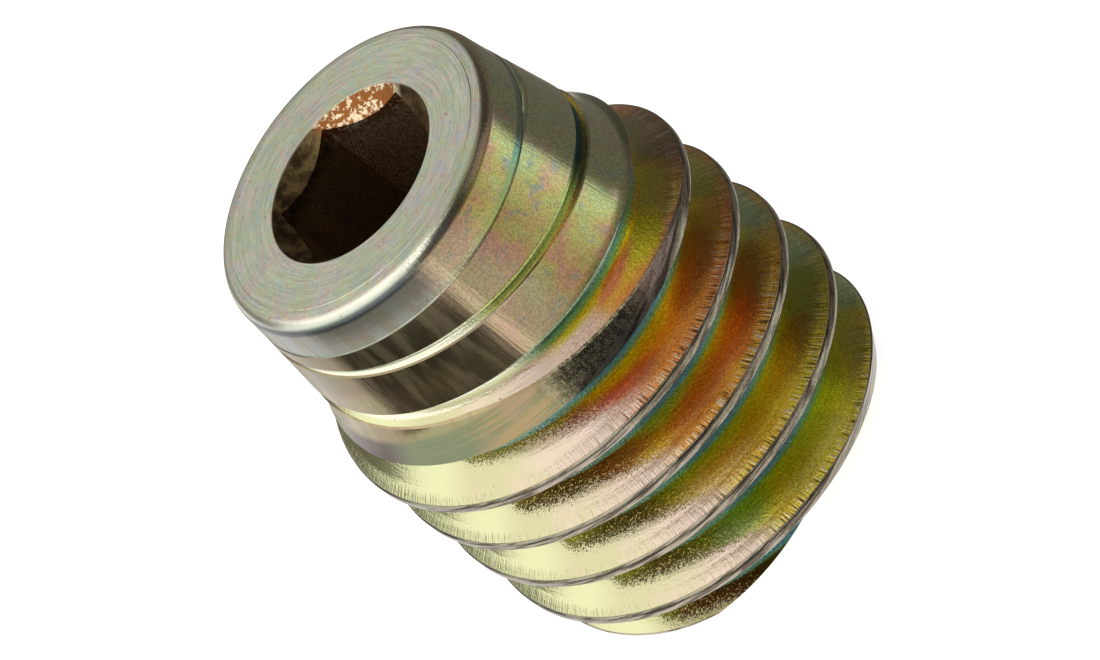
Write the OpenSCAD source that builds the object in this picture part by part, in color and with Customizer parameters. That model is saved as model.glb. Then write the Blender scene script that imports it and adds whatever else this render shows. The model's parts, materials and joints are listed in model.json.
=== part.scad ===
// Dog screw with a hexagon socket and a coarse two-start left-hand thread.
// One turned piece of zinc-plated steel. The plain collar under the face
// tapers outwards to the thread, so the thread's roots run out on it as
// shallow helical bands.
// The screw stands on its flat tip: the axis is Z, and the head is up.

/* [Blank] */
// Length from the tip to the face of the head
overall_length = 13.5; // [11:0.1:20]
// Radial width of the taper at the tip
tip_taper_width = 0.55; // [0.1:0.01:0.8]
// Height of the taper at the tip
tip_taper_height = 0.9; // [0.2:0.01:1.2]

/* [Collar] */
// Collar diameter where it meets the rounded rim of the face
collar_d = 8.4; // [8:0.01:9]
// Slope of the collar, in degrees away from the axis
collar_slope = 7.8; // [3:0.1:10]
// Height of the collar, from the rim to the shoulder of the thread
collar_height = 3.9; // [3:0.1:6]
// Slope of the shoulder up to the thread, in degrees away from the axis
shoulder_slope = 30; // [20:1:45]
// Radius of the rounded rim of the face
rim_radius = 0.36; // [0.1:0.01:0.5]
// Depth of the turned ring line, from the rim
ring_line_depth = 0.9; // [0.6:0.1:2]
// Radial step at the turned ring line
ring_line_step = 0.035; // [0.01:0.005:0.1]
// Width of the step at the turned ring line
ring_line_width = 0.12; // [0.05:0.01:0.3]

/* [Thread] */
// Major diameter of the thread, over the crests
major_d = 11.11; // [10.5:0.01:13]
// Distance from one crest to the next, along the axis
crest_pitch = 1.814; // [1.5:0.001:2.2]
// Number of starts
thread_starts = 2; // [1:1:3]
// Hand of the thread
thread_hand = "left"; // [left, right]
// Radial depth of the thread
thread_depth = 1.25; // [0.8:0.01:1.3]
// Angle of each flank, in degrees from a plane across the axis
flank_angle = 30; // [25:1:35]
// Width of the flat on each crest
crest_flat = 0.23; // [0.1:0.01:0.4]
// Azimuth at which the first groove leaves the tip
thread_turn = 100; // [0:1:359]

/* [Socket] */
// Width across flats of the key that fits the socket
key_across_flats = 3.97; // [3:0.01:5]
// Clearance of the socket round the key, across the flats
key_clearance = 0.05; // [0:0.01:0.15]
// Depth of the hexagon, from the face
socket_depth = 6; // [3:0.1:7]
// Depth of the drilled hole under the hexagon, to its full diameter
drill_depth = 6.8; // [4:0.1:8]
// Point angle of the drill
drill_point = 118; // [90:1:140]
// Diameter of the countersink at the face
countersink_d = 4.95; // [4.7:0.01:6.5]
// Included angle of the countersink
countersink_angle = 90; // [60:1:120]
// Azimuth of one corner of the hexagon
socket_turn = 20; // [0:1:59]

/* [Hidden] */
steel_colour = "#a39a62";
steps_per_turn = 36;
rim_steps = 6;
lathe_fn = 96;
cut_past = 1;
crest_margin = 0.25;
root_round_share = 0.3;

major_r = major_d / 2;
root_r = major_r - thread_depth;
collar_r = collar_d / 2;
lead = crest_pitch * thread_starts;
hand = thread_hand == "left" ? -1 : 1;
flank_slope = tan(flank_angle);

rim_z = overall_length - rim_radius;
shoulder_z = rim_z - collar_height;
function collar_radius(z) = collar_r + (rim_z - z) * tan(collar_slope);
shoulder_r = collar_radius(shoulder_z);
shoulder_end_z = shoulder_z - (major_r - shoulder_r) / tan(shoulder_slope);
ring_line_z = rim_z - ring_line_depth;

// Outline of the blank from the axis at the tip round to the axis at the face.
blank_outline = concat(
    [
        [0, 0],
        [major_r - tip_taper_width, 0],
        [major_r, tip_taper_height],
        [major_r, shoulder_end_z],
        [shoulder_r, shoulder_z],
        [collar_radius(ring_line_z), ring_line_z],
        [collar_radius(ring_line_z) - ring_line_step, ring_line_z + ring_line_width],
    ],
    [
        for (i = [0 : rim_steps])
            let (turn = 90 * i / rim_steps)
                [collar_r - rim_radius * (1 - cos(turn)), rim_z + rim_radius * sin(turn)]
    ],
    [[0, overall_length]]
);

module blank() {
    rotate_extrude($fn = lathe_fn)
        polygon(blank_outline);
}

// Section of a groove in a plane through the axis: x is the radius and y the
// height above the middle of the groove. It stands past the crests so that
// its outer wall cuts nothing, but not so far that two cutters meet. Its two
// root corners are broken by a small slope.
crest_past = crest_flat * crest_margin / flank_slope;
root_half = (crest_pitch - crest_flat) / 2 - thread_depth * flank_slope;
mouth_half = (crest_pitch - crest_flat) / 2 + crest_past * flank_slope;
root_break = root_half * root_round_share;
groove_section = [
    [major_r + crest_past, -mouth_half],
    [major_r + crest_past, mouth_half],
    [root_r + root_break, root_half + root_break * flank_slope],
    [root_r, root_half - root_break],
    [root_r, -root_half + root_break],
    [root_r + root_break, -root_half - root_break * flank_slope],
];

// The grooves start below the tip and end where the collar is thinner than
// their roots, so that they fade out on it.
groove_bottom_z = -mouth_half - cut_past;
fade_z = rim_z - max(0, (root_r - collar_r) / tan(collar_slope));
groove_top_z = min(fade_z, overall_length) + crest_pitch / 2;

module groove(start) {
    steps = ceil((groove_top_z - groove_bottom_z) / lead * steps_per_turn);
    first_turn = thread_turn + 360 * start / thread_starts + hand * 360 * groove_bottom_z / lead;
    corners = len(groove_section);
    points = [
        for (i = [0 : steps])
            let (turn = i * 360 / steps_per_turn, azimuth = first_turn + hand * turn)
                for (corner = groove_section)
                    [
                        corner.x * cos(azimuth),
                        corner.x * sin(azimuth),
                        corner.y + groove_bottom_z + lead * turn / 360,
                    ]
    ];
    walls = [
        for (i = [0 : steps - 1], j = [0 : corners - 1])
            let (a = i * corners + j, b = i * corners + (j + 1) % corners)
                for (face = [[a, b, b + corners], [a, b + corners, a + corners]])
                    face
    ];
    first_cap = [for (j = [corners - 1 : -1 : 0]) j];
    last_cap = [for (j = [0 : corners - 1]) steps * corners + j];
    faces = concat([first_cap], walls, [last_cap]);
    outward = hand > 0 ? faces : [for (face = faces) [for (k = [len(face) - 1 : -1 : 0]) face[k]]];
    polyhedron(points, outward, convexity = 6);
}

module socket() {
    across_flats = key_across_flats + key_clearance;
    corner_d = across_flats / cos(30);
    sink_height = countersink_d / 2 / tan(countersink_angle / 2);
    point_height = across_flats / 2 / tan(drill_point / 2);
    translate([0, 0, overall_length - socket_depth])
        rotate(socket_turn)
            cylinder(d = corner_d, h = socket_depth + cut_past, $fn = 6);
    translate([0, 0, overall_length - drill_depth])
        cylinder(d = across_flats, h = drill_depth, $fn = lathe_fn);
    translate([0, 0, overall_length - drill_depth - point_height])
        cylinder(d1 = 0, d2 = across_flats, h = point_height, $fn = lathe_fn);
    translate([0, 0, overall_length - sink_height])
        cylinder(d1 = 0, d2 = countersink_d, h = sink_height, $fn = lathe_fn);
}

module screw() {
    color(steel_colour)
        difference() {
            blank();
            for (start = [0 : thread_starts - 1])
                groove(start);
            socket();
        }
}

screw();
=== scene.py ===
import json
import math

import bmesh
import bpy
from mathutils import Matrix, Vector

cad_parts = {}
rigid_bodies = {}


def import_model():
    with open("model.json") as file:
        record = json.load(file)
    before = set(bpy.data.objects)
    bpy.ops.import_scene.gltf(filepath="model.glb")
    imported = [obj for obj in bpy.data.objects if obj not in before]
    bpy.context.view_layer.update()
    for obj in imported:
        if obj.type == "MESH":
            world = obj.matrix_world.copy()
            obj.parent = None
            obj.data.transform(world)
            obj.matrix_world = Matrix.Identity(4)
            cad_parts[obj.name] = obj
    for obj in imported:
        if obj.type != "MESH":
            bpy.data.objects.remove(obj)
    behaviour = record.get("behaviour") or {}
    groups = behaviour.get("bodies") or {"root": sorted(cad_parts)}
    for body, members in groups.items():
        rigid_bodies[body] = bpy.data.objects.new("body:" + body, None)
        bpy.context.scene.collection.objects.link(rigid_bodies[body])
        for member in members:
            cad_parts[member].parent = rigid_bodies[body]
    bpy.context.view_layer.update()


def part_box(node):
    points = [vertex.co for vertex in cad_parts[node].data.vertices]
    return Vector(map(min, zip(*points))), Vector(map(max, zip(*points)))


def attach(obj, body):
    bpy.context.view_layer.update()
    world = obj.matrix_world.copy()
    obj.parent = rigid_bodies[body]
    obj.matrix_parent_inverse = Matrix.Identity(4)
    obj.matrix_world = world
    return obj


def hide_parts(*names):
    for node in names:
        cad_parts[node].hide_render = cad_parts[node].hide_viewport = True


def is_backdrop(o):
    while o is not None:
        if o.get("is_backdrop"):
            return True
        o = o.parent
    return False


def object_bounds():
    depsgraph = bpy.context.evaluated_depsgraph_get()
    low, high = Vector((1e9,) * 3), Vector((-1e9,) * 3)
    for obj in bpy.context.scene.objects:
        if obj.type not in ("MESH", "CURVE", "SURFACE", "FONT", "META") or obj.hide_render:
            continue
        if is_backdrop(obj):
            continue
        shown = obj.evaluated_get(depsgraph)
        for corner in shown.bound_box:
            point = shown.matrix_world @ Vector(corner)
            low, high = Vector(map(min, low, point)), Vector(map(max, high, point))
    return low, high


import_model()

# ---------------------------------------------------------------------------
# The studio. The camera looks down on the screw with its head to the upper
# left, through a long lens.
# ---------------------------------------------------------------------------
MM = 0.001
scene = bpy.context.scene
for spare in list(bpy.data.objects):
    if spare.name in {"Cube", "Light", "Camera"}:
        bpy.data.objects.remove(spare)

view_elevation = math.radians(35.3)
view_roll = math.radians(52.6)
view_distance = 318
frame_width = 25.96
aim_height = 13.2
frame_shift = (4.519, -3.557)
back = Vector((0, -math.cos(view_elevation), math.sin(view_elevation)))
upward = Vector((0, math.sin(view_elevation), math.cos(view_elevation)))
sideways = Vector((1, 0, 0))
cam_right = math.cos(view_roll) * sideways - math.sin(view_roll) * upward
cam_up = math.sin(view_roll) * sideways + math.cos(view_roll) * upward
aim = Vector((0, 0, aim_height)) + frame_shift[0] * cam_right + frame_shift[1] * cam_up
eye = aim + view_distance * back

lens = bpy.data.cameras.new("studio_camera")
lens.sensor_width = 36
lens.lens = lens.sensor_width * view_distance / frame_width
lens.clip_start = 0.05
camera = bpy.data.objects.new("studio_camera", lens)
facing = Matrix((cam_right, cam_up, back)).transposed().to_4x4()
camera.matrix_world = Matrix.Translation(eye * MM) @ facing
scene.collection.objects.link(camera)
scene.camera = camera
scene.view_settings.view_transform = "Standard"


def srgb(code):
    """Turns an sRGB hex colour into linear RGBA."""
    parts = [int(code[i:i + 2], 16) / 255 for i in (1, 3, 5)]
    linear = [c / 12.92 if c <= 0.04045 else ((c + 0.055) / 1.055) ** 2.4 for c in parts]
    return linear + [1]


def add(tree, kind, inputs=(), stops=(), **settings):
    """Adds a shader node with its settings, inputs and ramp stops, and gives its output."""
    node = tree.nodes.new("ShaderNode" + kind)
    for name, value in settings.items():
        setattr(node, name, value)
    sockets = [s for s in node.inputs if s.enabled]
    named = {s.name: s for s in sockets}
    for key, value in inputs.items() if isinstance(inputs, dict) else enumerate(inputs):
        socket = named[key] if isinstance(key, str) else sockets[key]
        if isinstance(value, bpy.types.NodeSocket):
            tree.links.new(value, socket)
        else:
            socket.default_value = value
    if stops:
        ramp = node.color_ramp.elements
        while len(ramp) < len(stops):
            ramp.new(1)
        for element, (position, colour) in zip(ramp, stops):
            element.position = position
            element.color = srgb(colour)
    return next((s for s in node.outputs if s.enabled), None)


# The light: soft boxes and dark flags stand round the screw, over a white
# table. A card's row gives the bearings of its two sides, in degrees from the
# right round towards the camera, the heights of its lower and upper edge, the
# softness of its edges, its brightness and its colour. Later cards stand in
# front of earlier ones.
cards = [
    ("left_table", 104, 206, -99, -31, 3, 1.20, "#fffdf6"),
    ("right_flag", -80, 6, -38, 20, 4, 0.17, "#fff6e4"),
    ("right_flag_top", -84, 22, 14, 46, 5, 0.10, "#fff6e4"),
    ("right_wall", 12, 48, 4, 38, 8, 0.40, "#ffeef0"),
    ("front_flag", 58, 102, 2, 44, 6, 0.08, "#ffffff"),
    ("front_box", 60, 104, 52, 70, 6, 0.70, "#fffef8"),
    ("right_top_box", -60, 30, 50, 76, 5, 0.50, "#fffae8"),
    ("ceiling", -190, 190, 79, 99, 4, 0.80, "#fffdf6"),
    ("left_top_box", 98, 180, 32, 76, 5, 1.25, "#fffef8"),
    ("left_wall", 112, 212, -13, 34, 3, 0.95, "#f6fff4"),
    ("edge_fade", 20, 42, -34, -8, 9, 0.68, "#f8fff2"),
    ("edge_light", 7, 24, -34, -8, 2, 0.90, "#f2fff2"),
    ("streak_light", 103, 109, -34, -8, 1.5, 1.20, "#fff8ec"),
    ("left_flag", 112, 198, -28, -15, 2, 0.06, "#fff4dc"),
    ("left_low_box", 201, 248, -52, -6, 4, 0.95, "#ffffff"),
    ("back_box", -118, -62, 12, 62, 8, 0.70, "#f8faf2"),
    ("key_box", 174, 238, 26, 78, 3, 1.25, "#fffcf4"),
]
world = bpy.data.worlds.new("studio_light")
scene.world = world
world.use_nodes = True
sky = world.node_tree
sky.nodes.clear()
ray = add(sky, "TexCoord").node.outputs["Generated"]
ray = add(sky, "VectorMath", [ray], operation="NORMALIZE")
height = add(sky, "SeparateXYZ", [ray]).node.outputs["Z"]
level_ray = add(sky, "VectorMath", [ray, (1, 1, 0)], operation="MULTIPLY")
level_ray = add(sky, "VectorMath", [level_ray], operation="NORMALIZE")
level = add(sky, "MapRange", {"Value": height, "From Min": -1, "From Max": 1})
light = add(sky, "ValToRGB", [level], stops=[
    (0.0, "#f6f5ee"), (0.16, "#ebe9e0"), (0.23, "#d0cdc0"), (0.34, "#bab6a6"), (0.42, "#9a9688"),
    (0.5, "#6c6a62"), (0.9, "#7c7c72"), (0.97, "#b4b3a6"), (1.0, "#cbcabc"),
])
tilt = add(sky, "Math", [height], operation="ARCSINE")
for name, first, last, low, high, soft, strength, tone in cards:
    middle = math.radians((first + last) / 2)
    away = add(sky, "VectorMath", [level_ray, (math.cos(middle), -math.sin(middle), 0)],
               operation="DOT_PRODUCT")
    away = add(sky, "Math", [away], operation="ARCCOSINE")
    half = (last - first) / 2
    edges = [
        (away, half + soft, half - soft),
        (tilt, low - soft, low + soft),
        (tilt, high + soft, high - soft),
    ]
    shape = 1
    for angle, outside, inside in edges:
        within = add(sky, "MapRange", [angle, math.radians(outside), math.radians(inside)],
                     interpolation_type="SMOOTHSTEP")
        shape = add(sky, "Math", [shape, within], operation="MULTIPLY")
    glow = [channel * strength for channel in srgb(tone)[:3]] + [1]
    light = add(sky, "Mix", [shape, light, glow], data_type="RGBA")
seen = add(sky, "LightPath").node.outputs["Is Camera Ray"]
room = add(sky, "Background", {"Color": light, "Strength": 1.0})
backdrop = add(sky, "Background", {"Color": srgb("#ffffff"), "Strength": 1.0})
shown = add(sky, "MixShader", [seen, room, backdrop])
add(sky, "OutputWorld", {"Surface": shown})

# The floor is a white sheet on a lit table, so shadows on it stay faint.
floor_radius = 1500
floor_bm = bmesh.new()
bmesh.ops.create_circle(floor_bm, cap_ends=True, segments=96, radius=floor_radius * MM)
floor_mesh = bpy.data.meshes.new("floor")
floor_bm.to_mesh(floor_mesh)
floor_bm.free()
floor = bpy.data.objects.new("floor", floor_mesh)
scene.collection.objects.link(floor)
floor.visible_glossy = False
floor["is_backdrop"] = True
sheet = bpy.data.materials.new("lit_white_sheet")
sheet.use_nodes = True
sheet_tree = sheet.node_tree
sheet_tree.nodes.clear()
paper = add(sheet_tree, "BsdfDiffuse", {"Color": srgb("#c8c8c6")})
shine = add(sheet_tree, "Emission", {"Color": srgb("#ffffff"), "Strength": 0.9})
lit = add(sheet_tree, "AddShader", [paper, shine])
add(sheet_tree, "OutputMaterial", {"Surface": lit})
floor_mesh.materials.append(sheet)

# ---------------------------------------------------------------------------
# The screw: one turned piece of steel. The blank is a bar with a tapered
# collar under its face, a shoulder, a cylinder and a tapered tip, and two
# left-hand helical grooves and a hexagon socket are cut into it.
# ---------------------------------------------------------------------------
screw_low, screw_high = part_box("screw")
length = (screw_high.z - screw_low.z) / MM
major_r = 5.555

tip_taper = (0.55, 0.9)
collar_r = 4.2
collar_slope = math.tan(math.radians(7.8))
collar_height = 3.9
shoulder_slope = math.tan(math.radians(30))
rim_height = 0.36
rim_rise = 0.12
rim_band = (4.04, 0.05)
face_r = 3.76
face_line = (0.02, 0.012)
ring_depth = 0.9
ring_step = 0.034
ring_ledge = 0.035

crest_pitch = 1.814
starts = 2
lead = crest_pitch * starts
root_r = major_r - 1.25
flank_slope = math.tan(math.radians(30))
crest_flat = 0.23
thread_turn = math.radians(100)

rim_z = length - rim_height
shoulder_z = rim_z - collar_height
ring_z = rim_z - ring_depth


def collar_radius(z):
    """Gives the collar's radius at a height."""
    return collar_r + (rim_z - z) * collar_slope


shoulder_r = collar_radius(shoulder_z)
shoulder_end_z = shoulder_z - (major_r - shoulder_r) / shoulder_slope
blank_outline = [
    (0, 0),
    (major_r - tip_taper[0], 0),
    (major_r, tip_taper[1]),
    (major_r, shoulder_end_z),
    (shoulder_r, shoulder_z),
    (collar_radius(ring_z), ring_z),
    (collar_radius(ring_z) - ring_step, ring_z + ring_ledge),
    (collar_radius(ring_z) - ring_step, ring_z + ring_step / collar_slope),
    (collar_r, rim_z + rim_rise),
    (rim_band[0], length - rim_band[1]),
    (face_r + face_line[0], length - face_line[1] / 2),
    (face_r, length - face_line[1]),
    (face_r - face_line[0], length),
    (0, length),
]
lathe_steps = 192

# How far each corner of the outline is softened, by its place in the list.
softened = {2: 0.10, 3: 0.25, 4: 0.3, 5: 0.01, 6: 0.012, 8: 0.12, 9: 0.09}


def as_object(bm, name):
    """Puts a bmesh into the scene as an object of that name."""
    mesh = bpy.data.meshes.new(name)
    bm.to_mesh(mesh)
    bm.free()
    made = bpy.data.objects.new(name, mesh)
    scene.collection.objects.link(made)
    return made


def turned(outline, soft, steps):
    """Softens the corners of an outline, and spins it into a closed solid."""
    bm = bmesh.new()
    verts = [bm.verts.new((r, 0, z)) for r, z in outline]
    for a, b in zip(verts, verts[1:]):
        bm.edges.new((a, b))
    for corner, offset in soft.items():
        bmesh.ops.bevel(
            bm, geom=[verts[corner]], offset=offset, affect="VERTICES", segments=6,
            profile=0.5, material=-1,
        )
    bmesh.ops.spin(
        bm, geom=bm.verts[:] + bm.edges[:], axis=(0, 0, 1), cent=(0, 0, 0),
        angle=2 * math.pi, steps=steps, use_merge=True,
    )
    bmesh.ops.remove_doubles(bm, verts=bm.verts, dist=1e-5)
    bmesh.ops.dissolve_degenerate(bm, edges=bm.edges, dist=1e-5)
    bmesh.ops.recalc_face_normals(bm, faces=bm.faces)
    return bm


blank = as_object(turned(blank_outline, softened, lathe_steps), "screw_body")

# Groove cutter: the section of a groove, swept down the left-hand helix to
# below the tip. At each side a lip lies just above the crest, so that
# softening the section's corner there rounds the crest's edge.
groove_steps_per_turn = 192
past_crest = 0.2
crest_lip = 0.09
crest_gap = 0.004
crest_softening = 0.045
crest_half = (crest_pitch - crest_flat) / 2
root_half = crest_half - (major_r - root_r) * flank_slope
root_softening = root_half * 0.6
below_tip = 0.4
groove_bottom = -crest_half - below_tip
groove_top = rim_z + crest_pitch / 2


def groove_cutter(start):
    """Sweeps a groove's section down the helix, for one start of the thread."""
    bm = bmesh.new()
    azimuth = thread_turn + 2 * math.pi * start / starts - 2 * math.pi * groove_bottom / lead
    steps = math.ceil((groove_top - groove_bottom) / lead * groove_steps_per_turn)
    section = [
        (root_r, -root_half),
        (major_r, -crest_half),
        (major_r + crest_gap, -crest_half - crest_lip),
        (major_r + past_crest, -crest_half - crest_lip),
        (major_r + past_crest, crest_half + crest_lip),
        (major_r + crest_gap, crest_half + crest_lip),
        (major_r, crest_half),
        (root_r, root_half),
    ]
    verts = [bm.verts.new((r, 0, z + groove_bottom)) for r, z in section]
    bm.faces.new(verts)
    for corners, offset in (((0, 7), root_softening), ((1, 6), crest_softening)):
        bmesh.ops.bevel(
            bm, geom=[verts[i] for i in corners], offset=offset, affect="VERTICES",
            segments=3, profile=0.5, material=-1,
        )
    bmesh.ops.rotate(
        bm, verts=bm.verts, cent=(0, 0, 0), matrix=Matrix.Rotation(azimuth, 3, "Z"),
    )
    bmesh.ops.spin(
        bm, geom=bm.verts[:] + bm.edges[:] + bm.faces[:], axis=(0, 0, -1), cent=(0, 0, 0),
        dvec=(0, 0, lead / groove_steps_per_turn),
        angle=2 * math.pi * steps / groove_steps_per_turn, steps=steps,
    )
    bmesh.ops.recalc_face_normals(bm, faces=bm.faces)
    return as_object(bm, f"groove_cutter_{start}")


# Socket cutters: a drilled hole with a 118 degree point, the hexagon, and
# the countersink at the face.
across_flats = 4.02
corner_r = across_flats / 2 / math.cos(math.pi / 6)
socket_depth = 6
drill_depth = 6.8
drill_point = math.radians(118)
sink_r = 2.475
socket_turn = math.radians(20)
past_face = 0.5
drill_start = 1
drill_steps = 96
sink_steps = 144

drill_outline = [
    (0, length - drill_depth - across_flats / 2 / math.tan(drill_point / 2)),
    (across_flats / 2, length - drill_depth),
    (across_flats / 2, length - drill_start),
    (0, length - drill_start),
]
drill = as_object(turned(drill_outline, {}, drill_steps), "drill_cutter")
sink_outline = [
    (0, length - sink_r), (sink_r + past_face, length + past_face), (0, length + past_face),
]
sink = as_object(turned(sink_outline, {}, sink_steps), "sink_cutter")
hexagon_bm = bmesh.new()
bmesh.ops.create_cone(
    hexagon_bm, cap_ends=True, segments=6, depth=socket_depth + 2 * past_face,
    radius1=corner_r, radius2=corner_r,
    matrix=Matrix.Translation((0, 0, length - socket_depth / 2 + past_face)),
)
first_corner = max(hexagon_bm.verts, key=lambda v: v.co.x)
corner_turn = math.atan2(first_corner.co.y, first_corner.co.x)
bmesh.ops.rotate(
    hexagon_bm, verts=hexagon_bm.verts, cent=(0, 0, 0),
    matrix=Matrix.Rotation(socket_turn - corner_turn, 3, "Z"),
)
hexagon = as_object(hexagon_bm, "hexagon_cutter")

cutters = [groove_cutter(start) for start in range(starts)] + [drill, hexagon, sink]
cutter_set = bpy.data.collections.new("cutters")
for cutter in cutters:
    cutter_set.objects.link(cutter)
cut = blank.modifiers.new("cut", "BOOLEAN")
cut.operation = "DIFFERENCE"
cut.solver = "EXACT"
cut.operand_type = "COLLECTION"
cut.collection = cutter_set
bpy.context.view_layer.update()
shaped = bpy.data.meshes.new_from_object(
    blank.evaluated_get(bpy.context.evaluated_depsgraph_get())
)
blank.modifiers.clear()
blank.data = shaped
for cutter in cutters:
    bpy.data.objects.remove(cutter)
bpy.data.collections.remove(cutter_set)
shaped.transform(Matrix.Scale(MM, 4))
for polygon in shaped.polygons:
    polygon.use_smooth = True
shaped.set_sharp_from_angle(angle=math.radians(24))

# The finish: zinc plate with a yellow chromate film on bright turned steel.
# The film is thin enough to show bands of straw, olive, red and blue over
# the metal's own gloss, and the lathe's lines show through it.
plate = bpy.data.materials.new("yellow_zinc_on_turned_steel")
plate.use_nodes = True
coat = plate.node_tree
coat.nodes.clear()
step = {"interpolation_type": "SMOOTHSTEP"}
rgb = {"data_type": "RGBA"}
spot = add(coat, "TexCoord").node.outputs["Object"]
spot = add(coat, "VectorMath", {"Vector": spot, "Scale": 1 / MM}, operation="SCALE")
z = add(coat, "SeparateXYZ", [spot]).node.outputs["Z"]
flat = add(coat, "VectorMath", [spot, (1, 1, 0)], operation="MULTIPLY")
radius = add(coat, "VectorMath", [flat], operation="LENGTH")
bearing = add(coat, "VectorMath", [flat], operation="NORMALIZE")

# How far round from the left a place is: 0 at the left, 1 at the right.
left = math.radians(168)
leftward = (math.cos(left), -math.sin(left), 0)
left_side = add(coat, "VectorMath", [bearing, leftward], operation="DOT_PRODUCT")
from_left = add(coat, "Math", [left_side], operation="ARCCOSINE")
from_left = add(coat, "Math", [from_left, math.pi], operation="DIVIDE")

# Where each cut surface is. What lies under the blank's own outline at a
# height has been cut by a groove.
on_collar = add(coat, "MapRange", [z, rim_z, shoulder_z, collar_r, shoulder_r], clamp=False)
on_shoulder = add(
    coat, "MapRange", [z, shoulder_z, shoulder_end_z, shoulder_r, major_r], clamp=False,
)
outline_r = add(coat, "Math", [on_collar, on_shoulder], operation="MAXIMUM")
at_tip = add(coat, "MapRange", [z, 0, tip_taper[1], major_r - tip_taper[0], major_r])
outline_r = add(coat, "Math", [outline_r, at_tip], operation="MINIMUM")
cut_depth = add(coat, "Math", [outline_r, radius], operation="SUBTRACT")
in_groove = add(coat, "MapRange", [cut_depth, 0.04, 0.06], **step)
below_rim = add(coat, "MapRange", [z, rim_z - 0.4, rim_z - 0.6], **step)
in_groove = add(coat, "Math", [in_groove, below_rim], operation="MULTIPLY")
from_root = add(coat, "MapRange", [radius, root_r, major_r])
at_root = add(coat, "MapRange", [from_root, 0.18, 0.13], **step)
on_face = add(coat, "MapRange", [z, length - 0.09, length - 0.04], **step)
on_rim = add(coat, "MapRange", [z, rim_z + 0.08, rim_z + 0.20], **step)
in_socket = add(coat, "MapRange", [radius, sink_r + 0.01, sink_r - 0.03], **step)
on_upper = add(coat, "MapRange", [z, 8.0, 8.8], **step)
on_land = add(coat, "MapRange", [z, shoulder_z - 0.05, shoulder_z - 0.25], **step)

# Grain and cutting marks, with their fineness per millimetre: outward, up
# the axis and round it. Noise that is long round the axis gives the lines of
# the lathe, and noise that is long along it gives chatter. The finest lines
# are drawn about twice as coarse as they are, or they wouldn't show.
cloud = add(coat, "TexNoise", {"Vector": spot, "Scale": 0.6, "Detail": 3.0, "Roughness": 0.55})
patch = add(coat, "TexNoise", {"Vector": spot, "Scale": 1.25, "Detail": 4.0, "Roughness": 0.55})
isle = add(coat, "TexNoise", {"Vector": spot, "Scale": 2.2, "Detail": 6.0, "Roughness": 0.72})
speck = add(coat, "TexNoise", {"Vector": spot, "Scale": 7.0, "Detail": 3.0, "Roughness": 0.7})
grain = add(coat, "TexNoise", {"Vector": spot, "Scale": 13, "Detail": 3.0, "Roughness": 0.65})
grit = add(coat, "TexNoise", {"Vector": spot, "Scale": 26, "Detail": 2.0, "Roughness": 0.6})
marks = {}
for name, across, along_axis, around in (
    ("face_rings", 22, 1, 4), ("lathe_lines", 2, 12, 5), ("axial_marks", 1, 0.8, 55),
    ("flank_lines", 14, 0.6, 7), ("ribs", 1.6, 0.8, 100), ("stripes", 1, 0.5, 15),
    ("land_lines", 3, 11, 1.6),
):
    round_about = add(coat, "VectorMath", {"Vector": bearing, "Scale": around}, operation="SCALE")
    outward = add(coat, "Math", [radius, across], operation="MULTIPLY")
    outward = add(coat, "CombineXYZ", {"Z": outward})
    mark_spot = add(coat, "VectorMath", [round_about, outward], operation="ADD")
    up_axis = add(coat, "Math", [z, along_axis], operation="MULTIPLY")
    marks[name] = add(coat, "TexNoise", {
        "Vector": mark_spot, "W": up_axis, "Scale": 1.0, "Detail": 3.0, "Roughness": 0.6,
    }, noise_dimensions="4D")

# Film on the thread: thin at the root, thicker to the crest and the head.
by_height = add(coat, "MapRange", [z, 0.8, 8.2], **step)
spread = add(coat, "MapRange", [z, 2, 8.0, 0.20, 0.56])
film = add(coat, "Math", [from_root, spread, 0.19], operation="MULTIPLY_ADD")
film = add(coat, "Math", [by_height, 0.10, film], operation="MULTIPLY_ADD")
sway = add(coat, "MapRange", [cloud, 0.3, 0.7, -0.07, 0.07])
film = add(coat, "Math", [film, sway], operation="ADD")
fleck = add(coat, "MapRange", [marks["flank_lines"], 0.3, 0.7, -0.04, 0.04])
film = add(coat, "Math", [film, fleck], operation="ADD")
thread_colour = add(coat, "ValToRGB", [film], stops=[
    (0.00, "#9ddce5"), (0.08, "#8dd3aa"), (0.18, "#c0db50"), (0.30, "#e1e050"),
    (0.42, "#f5d850"), (0.54, "#fac353"), (0.66, "#f7a459"), (0.78, "#ea926d"),
    (0.90, "#eeb1a8"), (1.00, "#faddd2"),
])

# The tones that the film takes in places.
film_tones = {
    "sage": "#9dbe9c", "green": "#b0da92", "yellow": "#f4ea44", "gold": "#ddc33f",
    "amber": "#fddc90", "orange": "#ec7a3a", "copper": "#ce7843", "rust": "#ac5536",
    "red": "#a04c4c", "brown": "#8c6444", "salmon": "#ea8c68", "rose": "#d47e76",
    "blush": "#fad8d0", "straw": "#d6d070", "olive": "#9cac58", "drab": "#7c8470",
}

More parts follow.
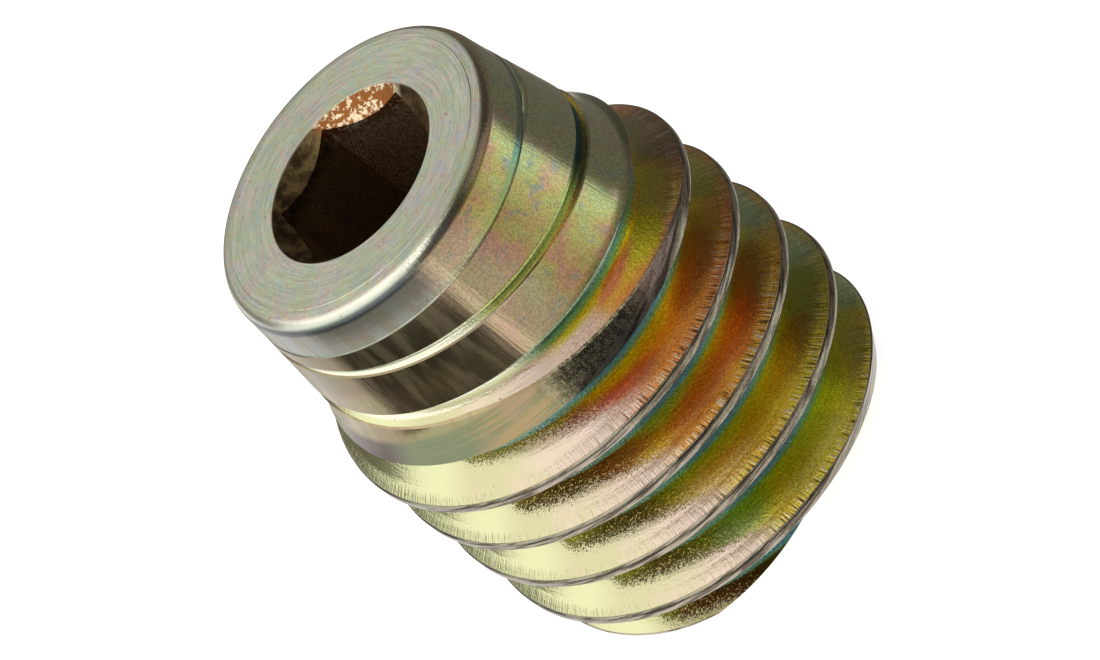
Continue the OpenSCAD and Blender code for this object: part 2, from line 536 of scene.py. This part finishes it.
# Patches of those colours on the thread. A row gives the flank, counted from
# the tip, the bearing in degrees from the right round towards the camera,
# the radius, the length and width, the strength and the colour.
patches = [
    (0, 125, 4.7, 1.8, 0.6, 0.9, "red"), (0, 106, 4.5, 1.2, 0.6, 0.9, "brown"),
    (1, 128, 4.8, 1.8, 0.5, 0.8, "brown"), (2, 126, 4.8, 2.0, 0.5, 0.8, "brown"),
    (1, 2, 5.0, 2.4, 0.8, 0.8, "sage"), (1, 40, 4.9, 1.8, 0.7, 0.6, "straw"),
    (1, 72, 4.9, 2.2, 0.6, 0.7, "straw"), (1, 101, 4.8, 1.1, 0.5, 0.8, "green"),
    (2, 0, 4.9, 2.4, 0.8, 0.85, "sage"), (2, 28, 4.9, 1.6, 0.8, 0.7, "olive"),
    (2, 52, 4.9, 1.6, 0.6, 0.6, "rust"), (2, 68, 4.9, 2.0, 0.6, 0.6, "gold"),
    (2, 95, 5.0, 1.6, 0.6, 0.8, "amber"), (3, 0, 4.9, 2.6, 0.8, 0.85, "sage"),
    (3, 42, 4.8, 2.4, 0.6, 0.7, "rust"), (3, 58, 4.9, 1.6, 0.6, 0.7, "orange"),
    (3, 78, 4.9, 2.0, 0.5, 0.7, "salmon"), (3, 90, 4.5, 1.6, 0.3, 0.8, "green"),
    (3, 112, 4.7, 1.8, 0.5, 0.8, "copper"), (3, 132, 4.8, 2.0, 0.5, 0.85, "brown"),
    (4, 2, 4.9, 2.6, 0.8, 0.8, "olive"), (4, 46, 4.8, 2.2, 0.6, 0.6, "rust"),
    (4, 90, 5.0, 1.6, 0.35, 0.7, "rose"), (4, 104, 4.8, 1.6, 0.35, 0.9, "rose"),
    (4, 88, 4.5, 1.4, 0.3, 0.9, "yellow"), (4, 98, 5.3, 1.8, 0.3, 0.8, "blush"),
    (5, 6, 5.0, 2.6, 0.9, 0.8, "drab"), (5, 36, 5.0, 1.4, 0.8, 0.7, "straw"),
    (5, 52, 4.9, 1.2, 0.6, 0.95, "yellow"), (5, 66, 4.65, 1.6, 0.25, 0.9, "salmon"),
    (5, 92, 4.9, 1.8, 0.6, 0.9, "blush"), (5, 82, 4.5, 1.4, 0.2, 0.9, "yellow"),
]
for flank, round_by, r, long_way, wide, strength, tone in patches:
    crest = lead * (math.degrees(thread_turn) + round_by) / 360 + crest_pitch * (flank - 1.5)
    at = (
        r * math.cos(math.radians(round_by)),
        -r * math.sin(math.radians(round_by)),
        crest + crest_flat / 2 + (major_r - r) * flank_slope,
    )
    off = add(coat, "Mapping", {
        "Vector": spot, "Location": at, "Rotation": (0, 0, math.radians(-90 - round_by)),
        "Scale": (long_way, wide, wide),
    }, vector_type="TEXTURE")
    off = add(coat, "VectorMath", [off], operation="LENGTH")
    off = add(coat, "Math", [patch, 0.8, off], operation="MULTIPLY_ADD")
    near = add(coat, "MapRange", [off, 1.5, 0.8, 0, strength], **step)
    thread_colour = add(coat, "Mix", [near, thread_colour, srgb(film_tones[tone])], **rgb)

# Towards the left the thread carries a painted highlight: the film is painted pale there, down to
# a ragged edge. Below that edge the groove gets painted shade, dark gold, with painted glints for
# bright grains. The edge climbs towards the camera, and drops on the upper turns and at the far
# left.
turned_left = add(coat, "MapRange", [left_side, 0.20, 0.42], **step)
dark_end = add(coat, "MapRange", [from_left, 0.04, 0.15, 0.50, -0.44], **step)
dark_front = add(coat, "MapRange", [from_left, 0.25, 0.42, 0, -0.28], **step)
less_dark = add(coat, "MapRange", [z, 6.2, 7.2, 0, 0.18], **step)
less_dark = add(coat, "Math", [on_upper, 0.45, less_dark], operation="MULTIPLY_ADD")
pale = from_root
for share in (dark_end, dark_front, less_dark):
    pale = add(coat, "Math", [pale, share], operation="ADD")
# Painted glints: bright grains where the painted highlight's edge meets the painted shade.
painted_glints = add(coat, "Math", [pale, 0.6, grain], operation="MULTIPLY_ADD")
painted_glints = add(coat, "Math", [painted_glints, grit], operation="ADD")
for noise, share in ((grit, 0.50), (grain, 0.30), (speck, 0.15)):
    pale = add(coat, "Math", [noise, share, pale], operation="MULTIPLY_ADD")
# Painted highlight: the pale film towards the left stands in for the key light's reflection.
painted_highlight = add(coat, "MapRange", [pale, 0.43, 0.53, 0, 0.95], **step)
painted_highlight = add(coat, "Math", [painted_highlight, turned_left], operation="MULTIPLY")
painted_glints = add(coat, "MapRange", [painted_glints, 1.06, 1.13, 0, 0.9], **step)
# Painted shade: below the highlight's edge the thread is darkened to dark gold.
painted_shade = add(coat, "MapRange", [left_side, 0.25, 0.62], **step)
painted_glints = add(coat, "Math", [painted_glints, painted_shade], operation="MULTIPLY")
shade_dimming = add(coat, "MapRange", [painted_shade, 0, 1, 1.0, 0.30])
shaded_thread = add(coat, "VectorMath", {
    "Vector": thread_colour, "Scale": shade_dimming,
}, operation="SCALE")
shaded_thread = add(coat, "Mix", [painted_glints, shaded_thread, srgb("#f0dc90")], **rgb)
pale_patch = add(coat, "Math", [patch, 0.6, left_side], operation="MULTIPLY_ADD")
pale_patch = add(coat, "MapRange", [pale_patch, 0.80, 1.20], **step)
highlit_thread = add(coat, "Mix", [pale_patch, srgb("#e2ccc0"), srgb("#d0cca6")], **rgb)
pale_end = add(coat, "MapRange", [left_side, 0.90, 0.98], **step)
highlit_thread = add(coat, "Mix", [pale_end, highlit_thread, srgb("#dce0b4")], **rgb)
thread_colour = add(coat, "Mix", [painted_highlight, shaded_thread, highlit_thread], **rgb)

# The root keeps a blue film, which turns green and straw where the grooves run out into the
# collar. There it carries a painted highlight, white at the left, and painted shade, dark at the
# right.
root_height = add(coat, "MapRange", [z, 7, 12])
root_colour = add(coat, "ValToRGB", [root_height], stops=[
    (0.0, "#a8d4e2"), (0.25, "#aed8d8"), (0.5, "#b0d8a8"), (0.8, "#d6e088"), (1.0, "#d6e088"),
])
above_thread = add(coat, "MapRange", [z, 9.2, 9.6], **step)
root_highlight = add(coat, "MapRange", [from_left, 0.42, 0.33], **step)
over_shoulder = add(coat, "MapRange", [z, 8.3, 8.7], **step)
root_highlight = add(coat, "Math", [root_highlight, over_shoulder], operation="MULTIPLY")
root_colour = add(coat, "Mix", [root_highlight, root_colour, srgb("#f6f4de")], **rgb)
root_shade = add(coat, "MapRange", [from_left, 0.66, 0.74], **step)
root_shade = add(coat, "Math", [root_shade, above_thread], operation="MULTIPLY")
root_colour = add(coat, "Mix", [root_shade, root_colour, srgb("#4c6c70")], **rgb)
thread_colour = add(coat, "Mix", [at_root, thread_colour, root_colour], **rgb)

# The grooves' last turns in the collar carry painted light over their film, set round the axis.
# Towards the camera they get painted shade, dark and speckled with painted glints. Towards the
# right they get a gold painted highlight and then dark green painted shade, and at the left a
# white painted highlight.
ring_flank_shading = add(coat, "ValToRGB", [from_left], stops=[
    (0.31, "#f4f0e0"), (0.37, "#5a4a34"), (0.50, "#5a4228"), (0.54, "#d89c50"), (0.62, "#e8bc58"),
    (0.68, "#7c8454"), (0.85, "#6a7450"),
])
ring_flank_glints = add(coat, "MapRange", [speck, 0.48, 0.56], **step)
off_left = add(coat, "MapRange", [from_left, 0.34, 0.38, 0, 0.5], **step)
ring_flank_glints = add(coat, "Math", [ring_flank_glints, off_left], operation="MULTIPLY")
ring_flank_shading = add(coat, "Mix", [ring_flank_glints, ring_flank_shading, srgb("#b08850")], **rgb)
on_ring_flank = add(coat, "MapRange", [z, 9.9, 10.2], **step)
above_root = add(coat, "MapRange", [from_root, 0.10, 0.12], **step)
on_ring_flank = add(coat, "Math", [on_ring_flank, above_root], operation="MULTIPLY")
thread_colour = add(coat, "Mix", [on_ring_flank, thread_colour, ring_flank_shading], **rgb)

# Film on the collar: straw with pink clouds and small grey islands. In front it is pinker and
# paler, partly a painted highlight. At the right it is greener, partly a painted tint of the
# greenish highlight there. At the left it is cool and striped and darkened as painted shade, and
# the first band is brushed bare there. The ring line and the rim change their tone round the axis
# as painted light: the ring line is darkened towards the right as painted shade, a dark band of
# painted shade lies under the rim at the left, and the rim carries a painted highlight, white at
# the left.
cloudy = add(coat, "MapRange", [patch, 0.25, 0.75], **step)
gold = add(coat, "ValToRGB", [cloudy], stops=[
    (0.00, "#cdd69c"), (0.3, "#d4cc86"), (0.5, "#dac686"), (0.7, "#e0b88e"), (1.00, "#e0a8a0"),
])
isles = add(coat, "MapRange", [isle, 0.57, 0.60, 0, 0.8], **step)
blank_colour = add(coat, "Mix", [isles, gold, srgb("#aeb4ac")], **rgb)
above_line = add(coat, "MapRange", [z, ring_z - 0.01, ring_z + 0.02], **step)
under_line = add(coat, "MapRange", [z, ring_z + 0.24, ring_z + 0.20], **step)
on_line = add(coat, "Math", [above_line, under_line], operation="MULTIPLY")
# Painted shade on the ring line: pale green at the left, dark towards the right.
ring_line_shading = add(coat, "ValToRGB", [from_left], stops=[
    (0.25, "#c8d49c"), (0.52, "#c4cc84"), (0.60, "#aec48c"), (0.66, "#7aa89c"), (0.71, "#5e4c50"),
    (0.9, "#6c6258"),
])
blank_colour = add(coat, "Mix", [on_line, blank_colour, ring_line_shading], **rgb)
# Pinker and paler in front: film tone and, in part, a painted highlight.
pinker_highlight = add(coat, "MapRange", [from_left, 0.52, 0.44, 0, 0.6], **step)
blank_colour = add(coat, "Mix", [pinker_highlight, blank_colour, srgb("#e8d4c6")], **rgb)
cool = add(coat, "MapRange", [from_left, 0.43, 0.32, 0, 0.8], **step)
first_band = add(coat, "MapRange", [z, ring_z - 0.02, ring_z + 0.02], **step)
second_band = add(coat, "MapRange", [z, 10.5, 11.0], **step)
# The cool colours at the left are darkened as painted shade.
cool_shaded_colour = add(coat, "Mix", [second_band, srgb("#aa9c74"), srgb("#84795c")], **rgb)
cool_shaded_colour = add(coat, "Mix", [first_band, cool_shaded_colour, srgb("#a2a8aa")], **rgb)
striped = add(coat, "MapRange", [marks["stripes"], 0.40, 0.60, 0, 0.5], **step)
cool_shaded_colour = add(coat, "Mix", [striped, cool_shaded_colour, srgb("#8a7c60")], **rgb)
blank_colour = add(coat, "Mix", [cool, blank_colour, cool_shaded_colour], **rgb)
# Greener at the right: film tone with a painted tint of the greenish highlight.
greener_highlight_tint = add(coat, "MapRange", [from_left, 0.62, 0.72, 0, 0.5], **step)
blank_colour = add(coat, "Mix", [greener_highlight_tint, blank_colour, srgb("#b8d0bc")], **rgb)
# Painted shade: a dark band under the rim at the left, below the rim's highlight.
under_rim_shade = add(coat, "MapRange", [z, rim_z - 0.12, rim_z - 0.02], **step)
under_rim_shade = add(coat, "Math", [under_rim_shade, cool], operation="MULTIPLY")
blank_colour = add(coat, "Mix", [under_rim_shade, blank_colour, srgb("#5c646c")], **rgb)
# Painted highlight on the rim: white at the left, duller grey-brown towards the right.
rim_highlight_tone = add(coat, "ValToRGB", [from_left], stops=[
    (0.0, "#f0eee4"), (0.42, "#f0eede"), (0.50, "#b0aa90"), (0.66, "#a8a088"), (0.85, "#c4bc9c"),
])
blank_colour = add(coat, "Mix", [on_rim, blank_colour, rim_highlight_tone], **rgb)

# The shoulder: green at the far right, then pink-grey, dark and mottled in front, where the
# darkness is partly painted shade, and pale with turning lines at the left, with a green and a
# purple end.
turning = add(coat, "MapRange", [marks["land_lines"], 0.42, 0.60], **step)
land_left = add(coat, "Mix", [turning, srgb("#c4a47c"), srgb("#9c9674")], **rgb)
land_cloud = add(coat, "MapRange", [patch, 0.45, 0.60, 0, 0.45], **step)
land_left = add(coat, "Mix", [land_cloud, land_left, srgb("#c4a08c")], **rgb)
land_green = add(coat, "MapRange", [from_left, 0.27, 0.17, 0, 0.75], **step)
land_left = add(coat, "Mix", [land_green, land_left, srgb("#88947c")], **rgb)
land_end = add(coat, "MapRange", [from_left, 0.10, 0.04, 0, 0.6], **step)
land_left = add(coat, "Mix", [land_end, land_left, srgb("#7c6474")], **rgb)
mottled = add(coat, "Math", [speck, grit], operation="ADD")
mottled = add(coat, "MapRange", [mottled, 0.92, 1.12], **step)
# The dark mottle in front is partly painted shade.
land_front_shade = add(coat, "Mix", [mottled, srgb("#74685a"), srgb("#c6c09c")], **rgb)
to_front = add(coat, "MapRange", [from_left, 0.60, 0.50], **step)
land_right = add(coat, "Mix", [to_front, srgb("#b09c90"), land_front_shade], **rgb)
far_right = add(coat, "MapRange", [from_left, 0.76, 0.84], **step)
land_right = add(coat, "Mix", [far_right, land_right, srgb("#808868")], **rgb)
to_left = add(coat, "MapRange", [from_left, 0.40, 0.33], **step)
land_colour = add(coat, "Mix", [to_left, land_right, land_left], **rgb)
blank_colour = add(coat, "Mix", [on_land, blank_colour, land_colour], **rgb)

# The crests are worn grey, and light and dark ribs of torn plate stand beside them, coloured with
# painted highlights and painted shade of the ribs that the relief also raises. The ribs get
# longer and fainter at the right, and hardly show at the left. A fine mottle lies over all but
# the painted highlight.
crest_lines = add(coat, "MapRange", [marks["lathe_lines"], 0.46, 0.58], **step)
crest_colour = add(coat, "Mix", [crest_lines, srgb("#b4aa9c"), srgb("#6a6056")], **rgb)
on_crest = add(coat, "MapRange", [cut_depth, 0.05, 0.02], **step)
below_land = add(coat, "MapRange", [z, shoulder_end_z + 0.5, shoulder_end_z + 0.2], **step)
on_crest = add(coat, "Math", [on_crest, below_land], operation="MULTIPLY")
colour = add(coat, "Mix", [in_groove, blank_colour, thread_colour], **rgb)
rib_start = add(coat, "MapRange", [from_left, 0.60, 0.80, major_r - 0.34, major_r - 0.90], **step)
rib_strength = add(coat, "MapRange", [from_left, 0.60, 0.80, 0.95, 0.4], **step)
rib_edge = add(coat, "MapRange", [radius, rib_start, major_r - 0.12, 0, rib_strength], **step)
ribbed = add(coat, "MapRange", [from_left, 0.33, 0.43, 0.08, 1], **step)
rib_edge = add(coat, "Math", [rib_edge, ribbed], operation="MULTIPLY")
rib_highlight = add(coat, "MapRange", [marks["ribs"], 0.53, 0.60], **step)
rib_share = add(coat, "Math", [rib_edge, rib_highlight], operation="MULTIPLY")
rib_share = add(coat, "Math", [rib_share, in_groove], operation="MULTIPLY")
colour = add(coat, "Mix", [rib_share, colour, srgb("#f0e0c4")], **rgb)
rib_shade = add(coat, "MapRange", [marks["ribs"], 0.46, 0.40], **step)
rib_share = add(coat, "Math", [rib_edge, rib_shade], operation="MULTIPLY")
rib_share = add(coat, "Math", [rib_share, in_groove], operation="MULTIPLY")
colour = add(coat, "Mix", [rib_share, colour, srgb("#6c5434")], **rgb)
colour = add(coat, "Mix", [on_crest, colour, crest_colour], **rgb)
mottle = add(coat, "Math", [grain, grit], operation="ADD")
mottle = add(coat, "MapRange", [mottle, 0.75, 1.20, 0.70, 1.16])
mottle = add(coat, "Mix", [painted_highlight, mottle, 1.0], data_type="FLOAT")
colour = add(coat, "VectorMath", {"Vector": colour, "Scale": mottle}, operation="SCALE")

# The face is turned last, and its film is the thinnest. Blue and red specks
# and the rings of the tool show in it.
face_colour = add(coat, "ValToRGB", [cloudy], stops=[
    (0.00, "#cad6cc"), (0.35, "#d6dab8"), (0.55, "#d8dac8"), (0.75, "#e2d4c6"), (1.00, "#d0d2d8"),
])
blue_specks = add(coat, "MapRange", [speck, 0.53, 0.60, 0, 0.5], **step)
face_colour = add(coat, "Mix", [blue_specks, face_colour, srgb("#b4c8d0")], **rgb)
red_specks = add(coat, "MapRange", [speck, 0.45, 0.38, 0, 0.5], **step)
face_colour = add(coat, "Mix", [red_specks, face_colour, srgb("#dcb4a0")], **rgb)
ring_shade = add(coat, "MapRange", [marks["face_rings"], 0.32, 0.68, 0.82, 1.10], **step)
face_colour = add(coat, "VectorMath", {
    "Vector": face_colour, "Scale": ring_shade,
}, operation="SCALE")
colour = add(coat, "Mix", [on_face, colour, face_colour], **rgb)

# Small dark pits lie over all but the socket.
pits = add(coat, "MapRange", [speck, 0.30, 0.27, 0, 0.8], **step)
colour = add(coat, "Mix", [pits, colour, srgb("#4a4034")], **rgb)

# The socket's countersink is mottled dark brown, and a little rust lies under its thin plate. The
# rust is on the countersink's side away from the camera, over a pale cream ground of painted
# light, and the wall below it is brighter, a painted pool of light.
rust_patch = add(coat, "Math", [isle, speck], operation="ADD")
rust_patch = add(coat, "MapRange", [rust_patch, 0.93, 0.99], **step)
# Rust patches on a pale cream ground of painted light.
rust = add(coat, "Mix", [rust_patch, srgb("#f8e4c4"), srgb("#a06438")], **rgb)
far_side = math.radians(-50)
far_way = (math.cos(far_side), -math.sin(far_side), 0)
to_far_side = add(coat, "VectorMath", [bearing, far_way], operation="DOT_PRODUCT")
on_lit_back_wall = add(coat, "MapRange", [to_far_side, 0.866, 0.872], **step)
far_countersink = add(coat, "MapRange", [to_far_side, 0.80, 0.88], **step)
sink_mottle = add(coat, "MapRange", [isle, 0.40, 0.62], **step)
sink_colour = add(coat, "Mix", [sink_mottle, srgb("#463826"), srgb("#8a744e")], **rgb)
sink_colour = add(coat, "Mix", [far_countersink, sink_colour, rust], **rgb)
grainy_wall = add(coat, "MapRange", [grit, 0.42, 0.60], **step)
wall_colour = add(coat, "Mix", [grainy_wall, srgb("#7a664c"), srgb("#a88e6e")], **rgb)
# Painted pool of light on the far wall below the countersink.
lit_back_wall = add(coat, "Mix", [grainy_wall, srgb("#a07c58"), srgb("#f8d4ac")], **rgb)
wall_colour = add(coat, "Mix", [on_lit_back_wall, wall_colour, lit_back_wall], **rgb)
in_sink = add(coat, "MapRange", [z, length - 0.9, length - 0.4], **step)
socket_colour = add(coat, "Mix", [in_sink, wall_colour, sink_colour], **rgb)
colour = add(coat, "Mix", [in_socket, colour, socket_colour], **rgb)

# Relief: ribs and grain on the thread, chatter on the collar, rings on the
# face.
near_crest = add(coat, "MapRange", [radius, major_r - 0.40, major_r - 0.16], **step)
rib_height = add(coat, "Math", [marks["ribs"], near_crest], operation="MULTIPLY")
grainy = add(coat, "MapRange", [left_side, 0.25, 0.6, 0.7, 1.7], **step)
grainy = add(coat, "Mix", [painted_highlight, grainy, 0.35], data_type="FLOAT")
thread_relief = add(coat, "Math", [grain, grainy], operation="MULTIPLY")
thread_relief = add(coat, "Math", [rib_height, 2.4, thread_relief], operation="MULTIPLY_ADD")
thread_relief = add(
    coat, "Math", [marks["flank_lines"], 0.5, thread_relief], operation="MULTIPLY_ADD",
)
blank_relief = add(coat, "Math", [grain, 0.06], operation="MULTIPLY")
for name, share in (("axial_marks", 0.45), ("lathe_lines", 0.12)):
    blank_relief = add(
        coat, "Math", [marks[name], share, blank_relief], operation="MULTIPLY_ADD",
    )
face_relief = add(coat, "Math", [grain, 0.35], operation="MULTIPLY")
face_relief = add(coat, "Math", [marks["face_rings"], 1.3, face_relief], operation="MULTIPLY_ADD")
relief = add(coat, "Mix", [in_groove, blank_relief, thread_relief], data_type="FLOAT")
relief = add(coat, "Mix", [on_face, relief, face_relief], data_type="FLOAT")
bumped = add(coat, "Bump", {"Height": relief, "Distance": 0.010 * MM, "Strength": 1.0})

# The plate is bright on the thread and the collar, streaky at the collar's
# left, and duller on its brushed band, on the face and in the socket.
brushed = add(coat, "Math", [cool, first_band], operation="MULTIPLY")
streaky = add(coat, "MapRange", [marks["stripes"], 0.42, 0.62, 0.15, 0.26], **step)
rough = add(coat, "Mix", [cool, 0.16, streaky], data_type="FLOAT")
rough = add(coat, "Mix", [brushed, rough, 0.30], data_type="FLOAT")
rough = add(coat, "Mix", [in_groove, rough, 0.16], data_type="FLOAT")
rough = add(coat, "Mix", [on_face, rough, 0.32], data_type="FLOAT")
rough = add(coat, "Mix", [in_socket, rough, 0.45], data_type="FLOAT")
skin = add(coat, "BsdfPrincipled", {
    "Base Color": colour, "Metallic": 1.0, "Roughness": rough, "Normal": bumped,
})
add(coat, "OutputMaterial", {"Surface": skin})
shaped.materials.clear()
shaped.materials.append(plate)

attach(blank, "root")
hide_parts("screw")

low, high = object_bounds()
